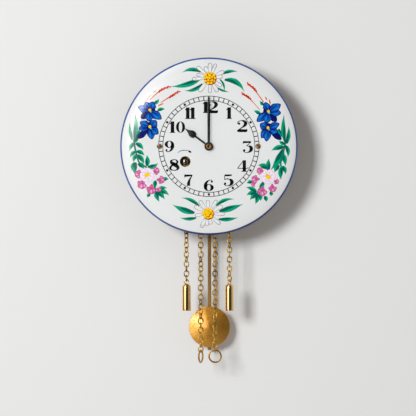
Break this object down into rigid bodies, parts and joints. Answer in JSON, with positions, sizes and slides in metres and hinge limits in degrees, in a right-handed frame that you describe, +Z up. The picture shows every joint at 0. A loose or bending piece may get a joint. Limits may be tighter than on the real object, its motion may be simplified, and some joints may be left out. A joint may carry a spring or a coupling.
{
  "type": "wall clock",
  "caption": "Round enamelled wall clock: domed flower-painted dial on a small wooden case, key-wound spring movement, pendulum, and ornamental chains with weights and pull rings.",
  "frame": {"origin": "on the wall plane, behind the middle of the dial, where the hands turn", "axes": "+Z up, +Y into the wall, -Y towards the viewer, +X to the right of someone looking at the dial"},
  "size_m": [0.15, 0.053, 0.2586],
  "materials": {
    "enamel": "glossy white vitreous enamel on pressed steel, with a blue rim",
    "blued_steel": "dark blued steel",
    "polished_brass": "polished brass",
    "chain_brass": "drawn brass wire",
    "satin_brass": "satin brushed brass",
    "movement_brass": "plain rolled brass",
    "steel": "bright steel",
    "case_wood": "stained wood, satin",
    "rod_wood": "stained wood, matte"
  },
  "bodies": {
    "case": {"case_left_side": "case_wood", "case_right_side": "case_wood", "case_top_board": "case_wood", "case_bottom_board": "case_wood", "case_back_board": "case_wood", "case_screw_upper_left": "steel", "case_screw_upper_right": "steel", "case_screw_lower_left": "steel", "case_screw_lower_right": "steel", "movement_back_plate": "movement_brass", "movement_front_plate": "movement_brass", "pillar_upper_left": "movement_brass", "pillar_upper_right": "movement_brass", "pillar_lower_left": "movement_brass", "pillar_lower_right": "movement_brass", "pillar_nut_upper_left": "steel", "pillar_nut_upper_right": "steel", "pillar_nut_lower_left": "steel", "pillar_nut_lower_right": "steel", "dial_plate": "enamel", "dial_post_left": "movement_brass", "dial_post_right": "movement_brass", "dial_screw_left": "polished_brass", "dial_screw_right": "polished_brass", "chain_hook_strip": "steel", "click_spring": "movement_brass"},
    "minute_hand_group": {"minute_hand": "blued_steel", "cannon_pinion": "steel", "hand_nut": "polished_brass"},
    "hour_hand_group": {"hour_hand": "blued_steel", "hour_wheel": "movement_brass"},
    "minute_wheel_group": {"minute_wheel": "movement_brass"},
    "third_wheel_group": {"third_arbor": "steel", "third_wheel": "movement_brass"},
    "centre_wheel_group": {"centre_arbor": "steel", "centre_wheel": "movement_brass"},
    "barrel_group": {"spring_barrel": "movement_brass", "barrel_cap": "movement_brass", "mainspring": "blued_steel"},
    "escape_wheel_group": {"escape_arbor": "steel", "escape_wheel": "movement_brass"},
    "winding_group": {"winding_arbor": "steel", "ratchet_wheel": "movement_brass"},
    "click_group": {"click": "steel"},
    "pendulum": {"pallet_arbor": "steel", "pallet_anchor": "steel", "pendulum_leader": "steel", "pendulum_hook": "steel", "pendulum_rod": "rod_wood", "pendulum_bob": "satin_brass"},
    "weight_chain_left_run": {"weight_chain_left": "chain_brass"},
    "weight_left_hanging": {"weight_left": "polished_brass"},
    "ring_chain_left_run": {"ring_chain_left": "chain_brass"},
    "pull_ring_left_hanging": {"pull_ring_left": "polished_brass"},
    "weight_chain_right_run": {"weight_chain_right": "chain_brass"},
    "weight_right_hanging": {"weight_right": "polished_brass"},
    "ring_chain_right_run": {"ring_chain_right": "chain_brass"},
    "pull_ring_right_hanging": {"pull_ring_right": "polished_brass"}
  },
  "joints": [
    {"name": "minute_hand_turn", "type": "hinge", "parent": "case", "child": "minute_hand_group", "pos_m": [0, -0.0511, 0], "axis": [0, 1, 0], "continuous": true},
    {"name": "hour_hand_turn", "type": "hinge", "parent": "case", "child": "hour_hand_group", "pos_m": [0, -0.0491, 0], "axis": [0, 1, 0], "continuous": true},
    {"name": "minute_wheel_turn", "type": "hinge", "parent": "case", "child": "minute_wheel_group", "pos_m": [0.00918, -0.0346, -0.00773], "axis": [0, 1, 0], "continuous": true},
    {"name": "third_wheel_turn", "type": "hinge", "parent": "case", "child": "third_wheel_group", "pos_m": [0.01263, -0.0236, 0.0135], "axis": [0, 1, 0], "continuous": true},
    {"name": "centre_wheel_turn", "type": "hinge", "parent": "case", "child": "centre_wheel_group", "pos_m": [0, -0.0302, 0], "axis": [0, 1, 0], "continuous": true},
    {"name": "barrel_turn", "type": "hinge", "parent": "case", "child": "barrel_group", "pos_m": [-0.0199, -0.0236, -0.0128], "axis": [0, 1, 0], "continuous": true},
    {"name": "escape_wheel_turn", "type": "hinge", "parent": "case", "child": "escape_wheel_group", "pos_m": [0, -0.0268, 0.02042], "axis": [0, 1, 0], "continuous": true},
    {"name": "winding_arbor_turn", "type": "hinge", "parent": "case", "child": "winding_group", "pos_m": [-0.0199, -0.0348, -0.0128], "axis": [0, 1, 0], "range_deg": [0, 1800]},
    {"name": "click_lift", "type": "hinge", "parent": "case", "child": "click_group", "pos_m": [-0.03349, -0.0348, -0.00676], "axis": [0, -1, 0], "range_deg": [0, 7], "stiffness_Nm_per_rad": 0.0002, "springref_deg": -17.19},
    {"name": "pendulum_swing", "type": "hinge", "parent": "case", "child": "pendulum", "pos_m": [0, -0.0125, 0.033], "axis": [0, 1, 0], "range_deg": [-5, 5]},
    {"name": "weight_chain_left_swing", "type": "hinge", "parent": "case", "child": "weight_chain_left_run", "pos_m": [-0.01918, -0.03625, -0.06197], "axis": [0, 1, 0], "range_deg": [-2, 12]},
    {"name": "weight_left_swing", "type": "hinge", "parent": "weight_chain_left_run", "child": "weight_left_hanging", "pos_m": [-0.01918, -0.03625, -0.11362], "axis": [0, 1, 0], "range_deg": [-4, 10]},
    {"name": "weight_chain_right_swing", "type": "hinge", "parent": "case", "child": "weight_chain_right_run", "pos_m": [0.01727, -0.03625, -0.06197], "axis": [0, 1, 0], "range_deg": [-12, 2]},
    {"name": "weight_right_swing", "type": "hinge", "parent": "weight_chain_right_run", "child": "weight_right_hanging", "pos_m": [0.01727, -0.03625, -0.11362], "axis": [0.7648, -0.6442, 0], "range_deg": [-10, 10]},
    {"name": "ring_chain_left_swing", "type": "hinge", "parent": "case", "child": "ring_chain_left_run", "pos_m": [-0.00702, -0.03625, -0.06197], "axis": [1, 0, 0], "range_deg": [-2, 6]},
    {"name": "pull_ring_left_swing", "type": "hinge", "parent": "ring_chain_left_run", "child": "pull_ring_left_hanging", "pos_m": [-0.00702, -0.03625, -0.17377], "axis": [-0.9512, 0.3087, 0], "range_deg": [-25, 25]},
    {"name": "ring_chain_right_swing", "type": "hinge", "parent": "case", "child": "ring_chain_right_run", "pos_m": [0.00513, -0.03625, -0.06197], "axis": [1, 0, 0], "range_deg": [-2, 6]},
    {"name": "pull_ring_right_swing", "type": "hinge", "parent": "ring_chain_right_run", "child": "pull_ring_right_hanging", "pos_m": [0.00513, -0.03625, -0.17377], "axis": [0, 1, 0], "range_deg": [-25, 25]}
  ],
  "couplings": [
    {"joint": "hour_hand_turn", "follows": "minute_hand_turn", "ratio": 0.083333},
    {"joint": "minute_wheel_turn", "follows": "minute_hand_turn", "ratio": -0.33333},
    {"joint": "centre_wheel_turn", "follows": "third_wheel_turn", "ratio": -0.1},
    {"joint": "barrel_turn", "follows": "third_wheel_turn", "ratio": 0.016667},
    {"joint": "escape_wheel_turn", "follows": "third_wheel_turn", "ratio": -9}
  ]
}
